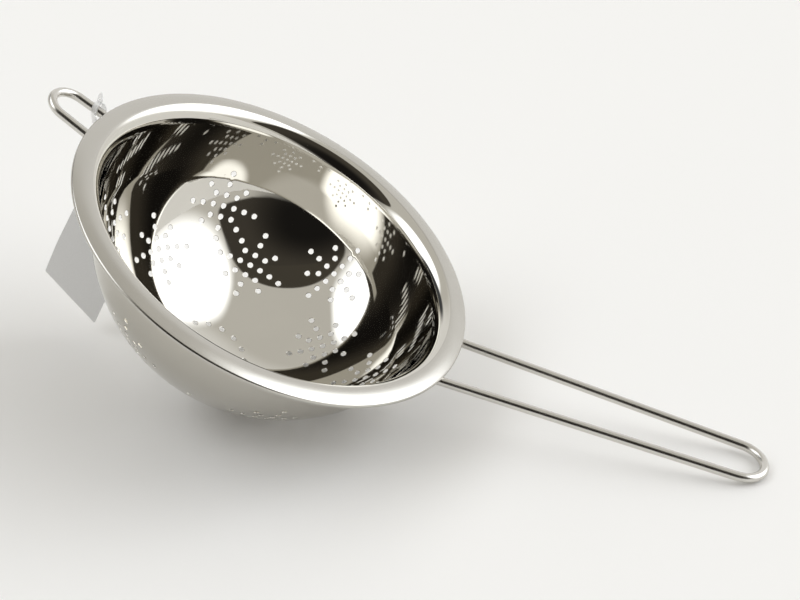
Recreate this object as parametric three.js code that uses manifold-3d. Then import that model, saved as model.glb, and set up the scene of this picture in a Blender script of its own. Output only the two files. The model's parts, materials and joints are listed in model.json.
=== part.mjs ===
// Pasta strainer: a deep-drawn stainless bowl with punched drain holes, a long wire-loop handle,
// a short wire rest loop opposite it, and a plain shop tag on a plastic strap.
// Millimetres, +Z up. The part lies as it does on a table: on the dome of its bowl and on the tip
// of its handle. The origin is on the table, under the middle of the part's bounding box.
import * as THREE from 'three';
import { mergeGeometries, mergeVertices } from 'three/addons/utils/BufferGeometryUtils.js';
import Module from 'manifold-3d';

// Bowl, measured from the plane of the mouth's corner, where the wall would meet the flange
const RIM_OUTER_RADIUS = 110;
const HEM_RADIUS = 1.5;
const FLANGE_FALL = 0.5;
const MOUTH_RADIUS = 97.7;
const MOUTH_FILLET = 4.5;
const BOWL_DEPTH = 90;
const SHEET_THICKNESS = 0.5;
const BASE_FLAT_RADIUS = 12;
// The dome is a superellipse: (radius / DOME_RADIUS)^ROUND_POWER + (depth share)^WALL_POWER = 1,
// with the depth share counted from DOME_TOP down. Above KNUCKLE_DEPTH the wall runs straight to the mouth.
const DOME_RADIUS = 96.5;
const DOME_TOP = 4;
const KNUCKLE_DEPTH = 39.4;
const WALL_POWER = 1.6;
const ROUND_POWER = 2.3;
const BOWL_SIDES = 34;
const FACET_STEP = 8;
const FACET_CLEARANCE = 0.3;
const CURVE_STEPS = 300;
const HEM_STEPS = 7;
const FILLET_STEPS = 3;

// Drain holes: distances along the wall are measured from the middle of the base
const HOLE_DIAMETER = 3;
const HOLE_SIDES = 6;
const PUNCH_LENGTH = 24;
const PUNCH_OVERRUN = 2.4;
const STAR_PITCH = 6.35;
const STAR_ARM_HOLES = 3;
const STAR_DIAGONAL_INNER = 6.4;
const STAR_DIAGONAL_OUTER = 10.75;
const UPPER_STAR_ARC = 90.8;
const LOWER_STAR_ARC = 64.6;
// The punch was indexed by hand, so the stars stand a few degrees off an even spacing
const UPPER_STAR_AZIMUTHS = [6, 66, 122, 186, 246, 306];
const LOWER_STAR_AZIMUTHS = [35, 100, 156, 216, 276, 336];
const BASE_RING_ARC = 19.8;
const BASE_RING_HOLES = 15;

// Wire loops: reach is from the rim's edge to the middle of the wire at the tip
const WIRE_DIAMETER = 4.9;
const WIRE_SIDES = 8;
const WIRE_BEND_RADIUS = 6;
const WELD_LENGTH = 14;
const SEAT_GAP = 0.3;
const HANDLE_REACH = 163.8;
const HANDLE_RISE_DEG = 18.72;
const HANDLE_ROOT_WIDTH = 39.2;
const HANDLE_TIP_WIDTH = 25.6;
const HANDLE_STEPS = 74;
const REST_REACH = 25.5;
const REST_RISE_DEG = 2.5;
const REST_ROOT_WIDTH = 23.4;
const REST_TIP_WIDTH = 19.6;
const REST_STEPS = 38;

// Shop tag: the strap hangs on the rest loop's far leg, and the card on the strap
const TIE_WIDTH = 3.5;
const TIE_THICKNESS = 0.8;
const TIE_INNER_RADIUS = 4.6;
const TIE_LENGTH = 69.5;
const TIE_RIM_CLEARANCE = 2.6;
const TIE_LEAN_DEG = 7;
const TIE_END_STEPS = 6;
const CARD_WIDTH = 42.5;
const CARD_LENGTH = 66;
const CARD_THICKNESS = 0.4;
const CARD_CORNER_RADIUS = 1;
const CARD_CORNER_STEPS = 4;
const CARD_HOLE_DIAMETER = 5;
const CARD_HOLE_INSET = 6;
const CARD_LEAN_DEG = 32;
const TAG_AZIMUTH_DEG = -17.5;

// Looks
const POLISHED_SHEET = { color: 0xbdb8ad, roughness: 0.12, metalness: 1 };
const DRAWN_WIRE = { color: 0xbab6ac, roughness: 0.2, metalness: 1 };
const CLEAR_STRAP = { color: 0xf2f2f0, roughness: 0.2, metalness: 0 };
const PLAIN_BOARD = { color: 0xe6e5e2, roughness: 0.85, metalness: 0 };

// Points closer than this are one point
const MERGE_DISTANCE = 1e-4;
// Halvings in the search for the resting tilt
const TILT_HALVINGS = 50;

const rad = THREE.MathUtils.degToRad;
const wireRadius = WIRE_DIAMETER / 2;
const wasm = await Module();
wasm.setup();

// Point of the dome's inside at parameter angle a, which is 90 degrees at the middle of the base
function domePoint(a) {
  const radius = DOME_RADIUS * Math.cos(a) ** (2 / ROUND_POWER);
  const depth = DOME_TOP + (BOWL_DEPTH - DOME_TOP) * Math.sin(a) ** (2 / WALL_POWER);
  return new THREE.Vector2(radius, -depth);
}

// Parameter angles where the dome has come in to the base flat, and up to the straight wall
const baseAngle = Math.acos((BASE_FLAT_RADIUS / DOME_RADIUS) ** (ROUND_POWER / 2));
const knuckleAngle = Math.asin(((KNUCKLE_DEPTH - DOME_TOP) / (BOWL_DEPTH - DOME_TOP)) ** (WALL_POWER / 2));
const baseHeight = domePoint(baseAngle).y;
const mouthCorner = new THREE.Vector2(MOUTH_RADIUS, 0);

// Inner wall: the dome from the edge of the base flat, in even steps of the angle, then straight to the mouth
function wallLine(steps) {
  const points = [];
  for (let i = 0; i <= steps; i += 1) {
    points.push(domePoint(THREE.MathUtils.lerp(baseAngle, knuckleAngle, i / steps)));
  }
  return [...points, mouthCorner];
}

// Unit direction from one point to another
function heading(from, to) {
  return to.clone().sub(from).normalize();
}

// Outward normal of the bowl's wall (away from its inside) for a direction that runs up the wall
function outward(direction) {
  return new THREE.Vector2(direction.y, -direction.x);
}

// Each point of a line moved square to the line by a distance, with the mitre kept
function offsetLine(line, distance) {
  return line.map((point, i) => {
    const before = heading(line[Math.max(i - 1, 0)], line[Math.max(i, 1)]);
    const last = line.length - 1;
    const after = heading(line[Math.min(i, last - 1)], line[Math.min(i + 1, last)]);
    const normal = outward(before).add(outward(after)).normalize();
    const mitre = distance / normal.dot(outward(before));
    return point.clone().addScaledVector(normal, mitre);
  });
}

// Arc that rounds a corner, no larger than the runs on either side have room for
function filletCorner(corner, before, after, largest, steps) {
  const incoming = heading(before, corner);
  const outgoing = heading(corner, after);
  const turn = Math.acos(THREE.MathUtils.clamp(incoming.dot(outgoing), -1, 1));
  const room = Math.min(corner.distanceTo(before), corner.distanceTo(after));
  const reach = Math.min(largest * Math.tan(turn / 2), room);
  const radius = reach / Math.tan(turn / 2);
  const start = corner.clone().addScaledVector(incoming, -reach);
  const side = Math.sign(incoming.cross(outgoing));
  const centre = start.clone().add(new THREE.Vector2(-incoming.y, incoming.x).multiplyScalar(side * radius));
  const points = [];
  for (let i = 0; i <= steps; i += 1) {
    points.push(start.clone().rotateAround(centre, side * turn * i / steps));
  }
  return points;
}

const hemCentre = new THREE.Vector2(RIM_OUTER_RADIUS - HEM_RADIUS, -FLANGE_FALL - HEM_RADIUS);

// Slope of the flange: the line from the mouth's corner that just touches the top of the hem
function flangeSlope() {
  const span = hemCentre.clone().sub(mouthCorner);
  return span.angle() + Math.asin(HEM_RADIUS / span.length());
}

// Solid from a geometry: only positions, shared vertices merged, no flat triangles
function toSolid(geometry) {
  const bare = new THREE.BufferGeometry();
  bare.setAttribute('position', geometry.getAttribute('position').clone());
  if (geometry.index) {
    bare.setIndex(geometry.index.clone());
  }
  const merged = mergeVertices(bare, MERGE_DISTANCE);
  const index = merged.index.array;
  const triangles = [];
  for (let i = 0; i < index.length; i += 3) {
    const [a, b, c] = [index[i], index[i + 1], index[i + 2]];
    if (a !== b && b !== c && c !== a) {
      triangles.push(a, b, c);
    }
  }
  const mesh = new wasm.Mesh({
    numProp: 3,
    vertProperties: new Float32Array(merged.getAttribute('position').array),
    triVerts: new Uint32Array(triangles),
  });
  mesh.merge();
  return new wasm.Manifold(mesh);
}

function toGeometry(solid) {
  const mesh = solid.getMesh();
  const geometry = new THREE.BufferGeometry();
  geometry.setAttribute('position', new THREE.BufferAttribute(new Float32Array(mesh.vertProperties), 3));
  geometry.setIndex(new THREE.BufferAttribute(new Uint32Array(mesh.triVerts), 1));
  geometry.computeVertexNormals();
  return geometry;
}

// Inner wall as a table of distance along it from the middle of the base
function wallTable() {
  const line = [new THREE.Vector2(0, baseHeight), ...wallLine(CURVE_STEPS)];
  let arc = 0;
  return line.map((point, i) => {
    arc += i ? point.distanceTo(line[i - 1]) : 0;
    return { arc, point };
  });
}

const innerWall = wallTable();

// Place on the inner wall at a distance along it: its point and its outward normal
function wallAt(arc) {
  const last = innerWall.length - 1;
  const above = innerWall.findIndex((row) => row.arc >= arc);
  const i = above < 1 ? (above < 0 ? last : 1) : above;
  const [low, high] = [innerWall[i - 1], innerWall[i]];
  const share = (arc - low.arc) / (high.arc - low.arc);
  return {
    point: low.point.clone().lerp(high.point, share),
    normal: outward(heading(low.point, high.point)),
  };
}

// A half-section place turned to an azimuth round the bowl's axis
function onBowl(flat, azimuth) {
  return new THREE.Vector3(flat.x * Math.cos(azimuth), flat.x * Math.sin(azimuth), flat.y);
}

// Offsets of one star's holes, across and up the wall: two straight arms and two short diagonals
function starOffsets() {
  const offsets = [[0, 0]];
  for (let k = 1; k <= STAR_ARM_HOLES; k += 1) {
    const step = k * STAR_PITCH;
    offsets.push([step, 0], [-step, 0], [0, step], [0, -step]);
  }
  for (const d of [STAR_DIAGONAL_INNER, STAR_DIAGONAL_OUTER]) {
    offsets.push([d, d], [d, -d], [-d, d], [-d, -d]);
  }
  return offsets;
}

// Every drain hole as a distance along the wall and an azimuth
function holePlaces() {
  const places = [];
  const rows = [[UPPER_STAR_ARC, UPPER_STAR_AZIMUTHS], [LOWER_STAR_ARC, LOWER_STAR_AZIMUTHS]];
  for (const [rowArc, azimuths] of rows) {
    for (const azimuth of azimuths) {
      for (const [across, up] of starOffsets()) {
        const arc = rowArc + up;
        places.push({ arc, azimuth: rad(azimuth) + across / wallAt(arc).point.x });
      }
    }
  }
  for (let i = 0; i < BASE_RING_HOLES; i += 1) {
    places.push({ arc: BASE_RING_ARC, azimuth: 2 * Math.PI * i / BASE_RING_HOLES });
  }
  return places;
}

// Distances along the wall of the rings between facets: they run between the rows of holes, not through them
function facetArcs() {
  const rows = holePlaces().map(({ arc }) => arc).sort((a, b) => a - b);
  const mouthArc = innerWall[innerWall.length - 1].arc;
  const arcs = [BASE_FLAT_RADIUS];
  rows.push(mouthArc);
  rows.slice(1).forEach((row, i) => {
    const low = rows[i] + HOLE_DIAMETER / 2;
    const clear = row - HOLE_DIAMETER / 2 - low;
    const count = clear > FACET_CLEARANCE ? Math.max(1, Math.round(clear / FACET_STEP)) : 0;
    for (let k = 0; k < count; k += 1) {
      arcs.push(low + clear * (k + 0.5) / count);
    }
  });
  return arcs;
}

// Half section of the bowl from its axis back to its axis: up the outside, round the hem and down the inside
function bowlSection() {
  const slope = flangeSlope();
  const hemTop = hemCentre.clone().add(new THREE.Vector2(0, HEM_RADIUS)).rotateAround(hemCentre, slope);
  const wall = facetArcs().map((arc) => wallAt(arc).point);
  const fillet = filletCorner(mouthCorner, wall[wall.length - 1], hemTop, MOUTH_FILLET, FILLET_STEPS);
  const inside = [...wall, ...fillet, hemTop];
  const outside = offsetLine([new THREE.Vector2(0, baseHeight), ...inside], SHEET_THICKNESS);
  outside[0].x = 0;
  const entry = Math.asin((HEM_RADIUS - SHEET_THICKNESS) / HEM_RADIUS);
  const sweep = Math.PI * 1.5 + entry;
  const hem = [];
  for (let i = 1; i <= HEM_STEPS; i += 1) {
    hem.push(hemTop.clone().rotateAround(hemCentre, -sweep * i / HEM_STEPS));
  }
  return [...outside.slice(0, -1), ...hem.reverse(), ...inside.reverse(), new THREE.Vector2(0, baseHeight)];
}

// A punch through the sheet, square to the wall: a slim cone with its point inside the bowl
function punchAt({ arc, azimuth }) {
  const { point, normal } = wallAt(arc);
  const baseRadius = HOLE_DIAMETER / 2 * PUNCH_LENGTH / (PUNCH_LENGTH - PUNCH_OVERRUN);
  const punch = new THREE.ConeGeometry(baseRadius, PUNCH_LENGTH, HOLE_SIDES);
  punch.deleteAttribute('normal');
  punch.deleteAttribute('uv');
  punch.rotateX(Math.PI);
  punch.translate(0, PUNCH_OVERRUN - PUNCH_LENGTH / 2, 0);
  const axis = onBowl(normal, azimuth);
  punch.applyQuaternion(new THREE.Quaternion().setFromUnitVectors(new THREE.Vector3(0, 1, 0), axis));
  const place = onBowl(point, azimuth);
  return punch.translate(place.x, place.y, place.z);
}

function bowlGeometry() {
  const shell = new THREE.LatheGeometry(bowlSection(), BOWL_SIDES);
  shell.rotateX(Math.PI / 2);
  const punches = mergeGeometries(holePlaces().map(punchAt));
  return toGeometry(toSolid(shell).subtract(toSolid(punches)));
}

// A round bend between two straight runs of wire
class Bend extends THREE.Curve {
  constructor(before, corner, after, radius) {
    super();
    this.incoming = heading(before, corner);
    const outgoing = heading(corner, after);
    this.turn = this.incoming.angleTo(outgoing);
    this.radius = radius;
    this.reach = radius * Math.tan(this.turn / 2);
    this.start = corner.clone().addScaledVector(this.incoming, -this.reach);
    this.end = corner.clone().addScaledVector(outgoing, this.reach);
    this.inward = outgoing.addScaledVector(this.incoming, -outgoing.dot(this.incoming)).normalize();
  }

  getPoint(t, target = new THREE.Vector3()) {
    const angle = this.turn * t;
    target.copy(this.start);
    target.addScaledVector(this.incoming, this.radius * Math.sin(angle));
    return target.addScaledVector(this.inward, this.radius * (1 - Math.cos(angle)));
  }
}

// Centre line of a bent wire: straight runs between corners, each corner [point, bend radius]
function wirePath(start, corners, end) {
  const path = new THREE.CurvePath();
  const points = [start, ...corners.map(([point]) => point), end];
  let from = start;
  corners.forEach(([corner, radius], i) => {
    const bend = new Bend(points[i], corner, points[i + 2], radius);
    path.add(new THREE.LineCurve3(from, bend.start));
    path.add(bend);
    from = bend.end;
  });
  path.add(new THREE.LineCurve3(from, end));
  return path;
}

// Wire of round section along a path
function wireGeometry(path, steps) {
  const section = new THREE.Shape();
  for (let i = 0; i < WIRE_SIDES; i += 1) {
    const angle = 2 * Math.PI * (i + 0.5) / WIRE_SIDES;
    section[i ? 'lineTo' : 'moveTo'](wireRadius * Math.cos(angle), wireRadius * Math.sin(angle));
  }
  section.closePath();
  return new THREE.ExtrudeGeometry(section, { steps, bevelEnabled: false, extrudePath: path });
}

// Distance along the inner wall at a given height
function wallArcAtHeight(height) {
  const above = innerWall.findIndex((row) => row.point.y >= height);
  const [low, high] = [innerWall[above - 1], innerWall[above]];
  const share = (height - low.point.y) / (high.point.y - low.point.y);
  return THREE.MathUtils.lerp(low.arc, high.arc, share);
}

// A wire loop that passes just under the hem and turns down along the wall, where it is welded.
// side is +1 on the +X side of the bowl and -1 on the other.
function wireLoop({ side, reach, riseDeg, rootWidth, tipWidth }) {
  const rise = rad(riseDeg);
  const direction = new THREE.Vector2(Math.cos(rise), Math.sin(rise));
  const hemX = Math.sqrt(hemCentre.x ** 2 - (rootWidth / 2) ** 2);
  const underHem = hemCentre.y - HEM_RADIUS - (wireRadius + SEAT_GAP) / direction.x;
  const edge = new THREE.Vector2(RIM_OUTER_RADIUS, underHem + (RIM_OUTER_RADIUS - hemX) * Math.tan(rise));
  const tip = edge.clone().addScaledVector(direction, reach);
  const standOff = SHEET_THICKNESS + wireRadius + SEAT_GAP;
  const weldPlace = (height) => {
    const { point, normal } = wallAt(wallArcAtHeight(height));
    return point.clone().addScaledVector(normal, standOff);
  };
  const footTop = weldPlace(edge.y - (RIM_OUTER_RADIUS - MOUTH_RADIUS) * Math.tan(rise));
  const footEnd = weldPlace(footTop.y - WELD_LENGTH);
  const azimuth = Math.asin(rootWidth / 2 / footTop.x);
  const onLeg = (hand) => {
    const turned = (flat) => {
      const place = onBowl(flat, azimuth);
      return new THREE.Vector3(side * place.x, hand * place.y, place.z);
    };
    return { end: turned(footEnd), foot: turned(footTop) };
  };
  const tipCorner = (hand) => new THREE.Vector3(side * tip.x, hand * tipWidth / 2, tip.y);
  const [near, far] = [onLeg(-1), onLeg(1)];
  const corners = [
    [near.foot, WIRE_BEND_RADIUS],
    [tipCorner(-1), tipWidth / 2],
    [tipCorner(1), tipWidth / 2],
    [far.foot, WIRE_BEND_RADIUS],
  ];
  return { path: wirePath(near.end, corners, far.end), foot: far.foot, corner: tipCorner(1), tip };
}

const handle = wireLoop({
  side: 1,
  reach: HANDLE_REACH,
  riseDeg: HANDLE_RISE_DEG,
  rootWidth: HANDLE_ROOT_WIDTH,
  tipWidth: HANDLE_TIP_WIDTH,
});
const rest = wireLoop({
  side: -1,
  reach: REST_REACH,
  riseDeg: REST_RISE_DEG,
  rootWidth: REST_ROOT_WIDTH,
  tipWidth: REST_TIP_WIDTH,
});

// Tilt at which the bowl's dome and the handle's tip reach down to the same level, by halving
function restingTilt() {
  const outer = offsetLine(wallLine(CURVE_STEPS), SHEET_THICKNESS);
  const level = (place, tilt) => place.y * Math.cos(tilt) - place.x * Math.sin(tilt);
  let [low, high] = [0, Math.PI / 2];
  for (let i = 0; i < TILT_HALVINGS; i += 1) {
    const tilt = (low + high) / 2;
    const dome = Math.min(...outer.map((place) => level(place, tilt)));
    if (level(handle.tip, tilt) - wireRadius > dome) {
      low = tilt;
    } else {
      high = tilt;
    }
  }
  return (low + high) / 2;
}

// Strap: a flat band bent into a long closed loop, drawn in its own plane and given its width
function tieGeometry() {
  const outline = (radius) => {
    const shape = new THREE.Shape();
    shape.absarc(0, 0, radius, 0, Math.PI, false);
    shape.absarc(0, -TIE_LENGTH, radius, Math.PI, 2 * Math.PI, false);
    shape.closePath();
    return shape;
  };
  const band = outline(TIE_INNER_RADIUS + TIE_THICKNESS);
  band.holes.push(outline(TIE_INNER_RADIUS));
  const width = { depth: TIE_WIDTH, bevelEnabled: false, curveSegments: TIE_END_STEPS };
  const geometry = new THREE.ExtrudeGeometry(band, width);
  geometry.translate(0, 0, -TIE_WIDTH / 2);
  geometry.rotateY(Math.PI / 2);
  return geometry.rotateX(Math.PI / 2);
}

// Card: a thin plate with round corners and a hole for the strap, drawn about the hole's middle
function cardGeometry() {
  const top = CARD_HOLE_INSET;
  const bottom = top - CARD_LENGTH;
  const half = CARD_WIDTH / 2;
  const r = CARD_CORNER_RADIUS;
  const shape = new THREE.Shape();
  shape.absarc(half - r, top - r, r, 0, Math.PI / 2, false);
  shape.absarc(-half + r, top - r, r, Math.PI / 2, Math.PI, false);
  shape.absarc(-half + r, bottom + r, r, Math.PI, Math.PI * 1.5, false);
  shape.absarc(half - r, bottom + r, r, Math.PI * 1.5, Math.PI * 2, false);
  const hole = new THREE.Path();
  hole.absarc(0, 0, CARD_HOLE_DIAMETER / 2, 0, Math.PI * 2, true);
  shape.holes.push(hole);
  const thickness = { depth: CARD_THICKNESS, bevelEnabled: false, curveSegments: CARD_CORNER_STEPS };
  const geometry = new THREE.ExtrudeGeometry(shape, thickness);
  geometry.translate(0, 0, -CARD_THICKNESS / 2);
  return geometry.rotateX(Math.PI / 2);
}

function piece(name, geometry, look) {
  const mesh = new THREE.Mesh(geometry, new THREE.MeshStandardMaterial(look));
  mesh.name = name;
  return mesh;
}

// Bowl and wires, tilted as they lie: +X runs down towards the handle's tip
const tilt = restingTilt();
const welded = new THREE.Group();
welded.rotation.y = tilt;
welded.add(
  piece('bowl', bowlGeometry(), POLISHED_SHEET),
  piece('long_handle', wireGeometry(handle.path, HANDLE_STEPS), DRAWN_WIRE),
  piece('rest_loop', wireGeometry(rest.path, REST_STEPS), DRAWN_WIRE),
);
welded.updateMatrixWorld(true);

// Tag: hung on the far leg of the rest loop, in an upright plane turned to TAG_AZIMUTH_DEG
function tagGroup() {
  const leg = rest.corner.clone().sub(rest.foot);
  const clearOfRim = -(RIM_OUTER_RADIUS + TIE_RIM_CLEARANCE + TIE_WIDTH / 2);
  const share = (clearOfRim - rest.foot.x) / leg.x;
  const hang = welded.localToWorld(rest.foot.clone().addScaledVector(leg, share));
  const tag = new THREE.Group();
  tag.position.copy(hang);
  tag.rotation.z = rad(TAG_AZIMUTH_DEG);
  const lean = new THREE.Group();
  lean.rotation.y = rad(TIE_LEAN_DEG);
  const tie = piece('tag_tie', tieGeometry(), CLEAR_STRAP);
  const climb = Math.asin(leg.clone().transformDirection(welded.matrixWorld).z);
  const wireTop = wireRadius / Math.cos(climb) + TIE_WIDTH / 2 * Math.tan(climb);
  tie.position.z = wireTop + SEAT_GAP - TIE_INNER_RADIUS;
  const card = piece('tag_card', cardGeometry(), PLAIN_BOARD);
  card.position.z = tie.position.z - TIE_LENGTH - TIE_INNER_RADIUS - TIE_THICKNESS / 2;
  card.rotation.y = rad(CARD_LEAN_DEG - TIE_LEAN_DEG);
  lean.add(tie, card);
  tag.add(lean);
  return tag;
}

const strainer = new THREE.Group();
strainer.name = 'pasta_strainer';
strainer.add(welded, tagGroup());
strainer.updateMatrixWorld(true);
const box = new THREE.Box3().setFromObject(strainer, true);
const middle = box.getCenter(new THREE.Vector3());
strainer.position.set(-middle.x, -middle.y, -box.min.z);

export default strainer;
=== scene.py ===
"""Looks of the pasta strainer: a perforated bowl with a satin rim, bent wire loops and a blank tag.

Shapes are worked out in millimetres in the bowl's own frame (rim plane at z = 0, handle towards +x), then
tilted and set down as the solid model lies. Meshes are stored in metres.
"""

import json
import math

import bpy
import numpy as np
from mathutils import Euler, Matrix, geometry


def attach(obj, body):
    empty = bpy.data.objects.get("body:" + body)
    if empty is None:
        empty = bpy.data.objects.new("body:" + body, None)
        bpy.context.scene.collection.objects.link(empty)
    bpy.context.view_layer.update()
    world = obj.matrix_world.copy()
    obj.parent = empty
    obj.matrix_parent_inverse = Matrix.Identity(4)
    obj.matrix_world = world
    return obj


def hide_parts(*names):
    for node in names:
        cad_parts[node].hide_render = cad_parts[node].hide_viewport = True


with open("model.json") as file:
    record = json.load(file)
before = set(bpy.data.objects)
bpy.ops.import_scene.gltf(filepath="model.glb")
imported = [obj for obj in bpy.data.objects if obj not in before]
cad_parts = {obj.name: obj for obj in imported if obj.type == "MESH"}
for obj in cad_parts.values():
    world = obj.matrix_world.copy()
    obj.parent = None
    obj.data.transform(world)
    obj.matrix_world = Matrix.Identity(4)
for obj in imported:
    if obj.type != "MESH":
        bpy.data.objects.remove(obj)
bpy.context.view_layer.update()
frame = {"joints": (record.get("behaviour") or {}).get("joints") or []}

MM = 0.001
TAU = 2 * math.pi
# Points nearer than this many millimetres are one point
SAME_POINT = 1e-6

# Place of the bowl's frame on the table
TILT_DEG = 29.6906
RIM_CENTRE = np.array([-48.8461, 0.0, 92.6573])

# Bowl: heights are from the top of the mouth's round
RIM_RADIUS = 110.0
FLANGE_EDGE = 109.0
FLANGE_FALL_DEG = 19.0
BEAD_RADIUS = 1.4
BEAD_SATIN_SHARE = 0.5
BOWL_DEPTH = 90.0
SHEET = 0.4
BASE_FLAT_RADIUS = 4.0
BASE_EASE = 3.0
DOME_RADIUS = 96.5
DOME_TOP = 4.0
WALL_POWER = 1.6
ROUND_POWER = 2.3
# At the shoulder the wall turns steeper within a short span, and then by this many degrees a millimetre
SHOULDER_ARC = 103.2
SHOULDER_SPAN = 3.5
SHOULDER_TURN_DEG = 4.6
SHOULDER_RATE = 0.54
# The mouth's round is wide below and tight above, with the change at this slope
MOUTH_LOW_ROUND = 12.4
MOUTH_TOP_ROUND = 5.4
MOUTH_BREAK_DEG = 42.4
SATIN_FROM_DEG = 14.0
RIM_SEGMENTS = 240
RIM_TURN = np.arange(RIM_SEGMENTS) * TAU / RIM_SEGMENTS
WALL_SPACING = 4.0
RING_LEAST_POINTS = 6
# Steps of the wall's curve, its reach past the shoulder before the mouth cuts it, and rows of the rim
DOME_SAMPLES = 3000
DOME_END_ANGLE = 0.1
WALL_STEP = 0.05
WALL_PAST_SHOULDER = 42.0
MOUTH_ROWS = 22
FLANGE_ROWS = 10
UNDER_SHORT_ROWS = 2
BEAD_ROWS = 30
POLISHED_SLOT, SATIN_SLOT, OUTSIDE_SLOT = range(3)

# Drain holes
HOLE_RADIUS = 1.5
HOLE_SEGMENTS = 20
LIP_WIDTH = 0.28
LIP_SINK = 0.09
HOLE_MARGIN = 1.2
STAR_PITCH = 6.35
STAR_ARM_HOLES = 3
STAR_DIAGONALS = (6.4, 10.75)
STAR_ROWS = (
    (90.8, (6, 66, 122, 186, 246, 306)),
    (64.6, (35, 100, 156, 216, 276, 336)),
)
BASE_RING_ARC = 19.8
BASE_RING_HOLES = 15

# Wires: the hem and the sheet here are the solid model's, which the wires were bent to clear
WIRE_RADIUS = 2.4
WIRE_SEAT = 2.75
WIRE_CORNER = 97.7
HEM_CENTRE = (108.5, -2.0)
HEM_RADIUS = 1.5
WALL_SHEET = 0.5
WIRE_SIDES = 28
WIRE_STEP = 1.2
STRAIGHT_STEP = 4.8
WIRE_BEND_RADIUS = 6.0
WIRE_END_ROUND = 0.7
WIRE_END_STEPS = 6
BEND_LEAST_STEPS = 6
WELD_LENGTH = 14.0
# Weld nugget: place along the foot, how far it sinks into the wire, half sizes,
# lumps as height and waves round and along it, and rows and columns
NUGGET_PLACE = 0.42
NUGGET_SINK = 0.15
NUGGET_HALF = (4.6, 2.5, 0.85)
NUGGET_LUMPS = ((0.05, 3, 5), (0.04, 5, -3))
NUGGET_GRID = (14, 24)
HANDLE = {"side": 1, "reach": 163.8, "rise": 18.72, "root": 39.2, "tip": 25.6}
REST = {"side": -1, "reach": 25.48, "rise": 2.5, "root": 23.4, "tip": 19.6}

# Tag: the strap hangs on one hinge and the card on the other
HINGES = {joint["name"]: np.array(joint["pos_m"]) / MM for joint in frame["joints"]}
HANG_POINT = HINGES["tie_swing"]
CARD_HOLE_POINT = HINGES["card_swing"]
TAG_AZIMUTH_DEG = -17.5
CARD_LEAN_DEG = 32.0
CARD_WIDTH = 42.45
CARD_LENGTH = 66.0
CARD_THICKNESS = 0.4
CARD_CORNER = 1.0
CARD_HOLE_RADIUS = 2.5
CARD_HOLE_INSET = 6.0
CARD_BOW = 1.2
CARD_CORNER_STEPS = 6
CARD_EDGE_STEP = 1.5
CARD_ROWS = 24
CARD_CREASE_DEG = 50.0
STRAP_WIDTH = 3.4
STRAP_THICKNESS = 0.5
STRAP_TOP = (3.8, 4.8)
STRAP_RUN = 0.95
STRAP_FOOT = (1.7, 1.2)
STRAP_NECK = 15.0
STRAP_FOOT_EASE = 8.0
# Points on the strap's top, on each run and on its foot
STRAP_STEPS = (25, 60, 15)
# Sides of the band's section, and the powers that square it off through and across the band
STRAP_SIDES = 16
STRAP_EDGE_POWERS = (0.5, 0.35)
# Strap's tail: rows, length, share that tapers and its power, blunt end, foot, overlap, lean and its power
TAIL_ROWS = 14
TAIL_LENGTH = 5.6
TAIL_TAPER = 0.45
TAIL_TAPER_POWER = 0.8
TAIL_BLUNT = 0.04
TAIL_FOOT = 0.2
TAIL_OVERLAP = 0.1
TAIL_LEAN = 1.6
TAIL_LEAN_POWER = 1.5

# Camera: its place from the rim's centre, its turn, its dip and its focal length in pixels
PHOTO_WIDTH = 800
CAMERA_FROM_RIM = np.array([259.0, -619.9, 359.4])
CAMERA_TURN_DEG = 17.47
CAMERA_DIP_DEG = 30.70
FOCAL_PIXELS = 1487.7
SENSOR_MM = 36.0
CAMERA_CLIP = (0.01, 50.0)

# Tones, how far a steel's cloud lightens and darkens it, and the heights of fine lines and of board's tooth
STEEL_TONE = (0.66, 0.64, 0.59)
SATIN_TONE = (0.555, 0.538, 0.498)
# Outside of the wall and the bead's lower half: the same steel, toned darker than the inside as painted
# shade for the dim floor it mirrors under the bowl
OUTSIDE_SHADE_TONE = (0.54, 0.52, 0.47)
WIRE_TONE = (0.65, 0.632, 0.595)
WELD_TONE = (0.5, 0.48, 0.45)
CLOUD_SPREAD = 0.03
LINE_HEIGHT = 0.05
TOOTH_HEIGHT = 0.1
# The card's two tones are grey, well below white board, to paint the shade it stands in; between them lie
# the fibre flecks
SHADED_BOARD_DARK = (0.70, 0.695, 0.685)
SHADED_BOARD_LIGHT = (0.79, 0.785, 0.775)
BOARD_ROUGH = (0.55, 0.8)
BOARD_TOOTH = 0.25
STRAP_TONE = (0.98, 0.98, 0.975)
STRAP_ROUGH = (0.2, 0.4)
FLOOR_TONE = (0.927, 0.914, 0.89)
FLOOR_HALF = 8000.0

# Light tent: its walls, the backdrop, the least distance ahead that a patch is reckoned with, and patches
# on the walls as azimuth, middle height, half width, half height, edge, power and colour
TENT = (0.665, 0.648, 0.602)
BACKDROP = (0.9, 0.9, 0.9)
LEAST_AHEAD = 0.001
PATCHES = (
    (95, 0.25, 1.9, 0.95, 0.4, 2.5, (0.92, 0.912, 0.89)),
    (-70, 1.15, 1.08, 1.06, 0.05, 2.5, (0.070, 0.062, 0.049)),
    (-70, 0.66, 1.02, 0.55, 0.03, 9.0, (0.060, 0.053, 0.043)),
    (-84, 0.42, 0.62, 0.5, 0.6, 2.2, (0.012, 0.011, 0.010)),
    (17, 0.69, 0.69, 0.62, 0.36, 2.2, (3.3, 3.38, 3.5)),
    (-165, 1.30, 0.80, 0.78, 0.32, 2.8, (2.32, 2.38, 2.46)),
    (165, 0.68, 0.55, 0.2, 0.3, 2.5, (0.07, 0.072, 0.075)),
)

tilt = math.radians(TILT_DEG)
TILT_MATRIX = np.array(
    [
        [math.cos(tilt), 0, math.sin(tilt)],
        [0, 1, 0],
        [-math.sin(tilt), 0, math.cos(tilt)],
    ]
)


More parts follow.
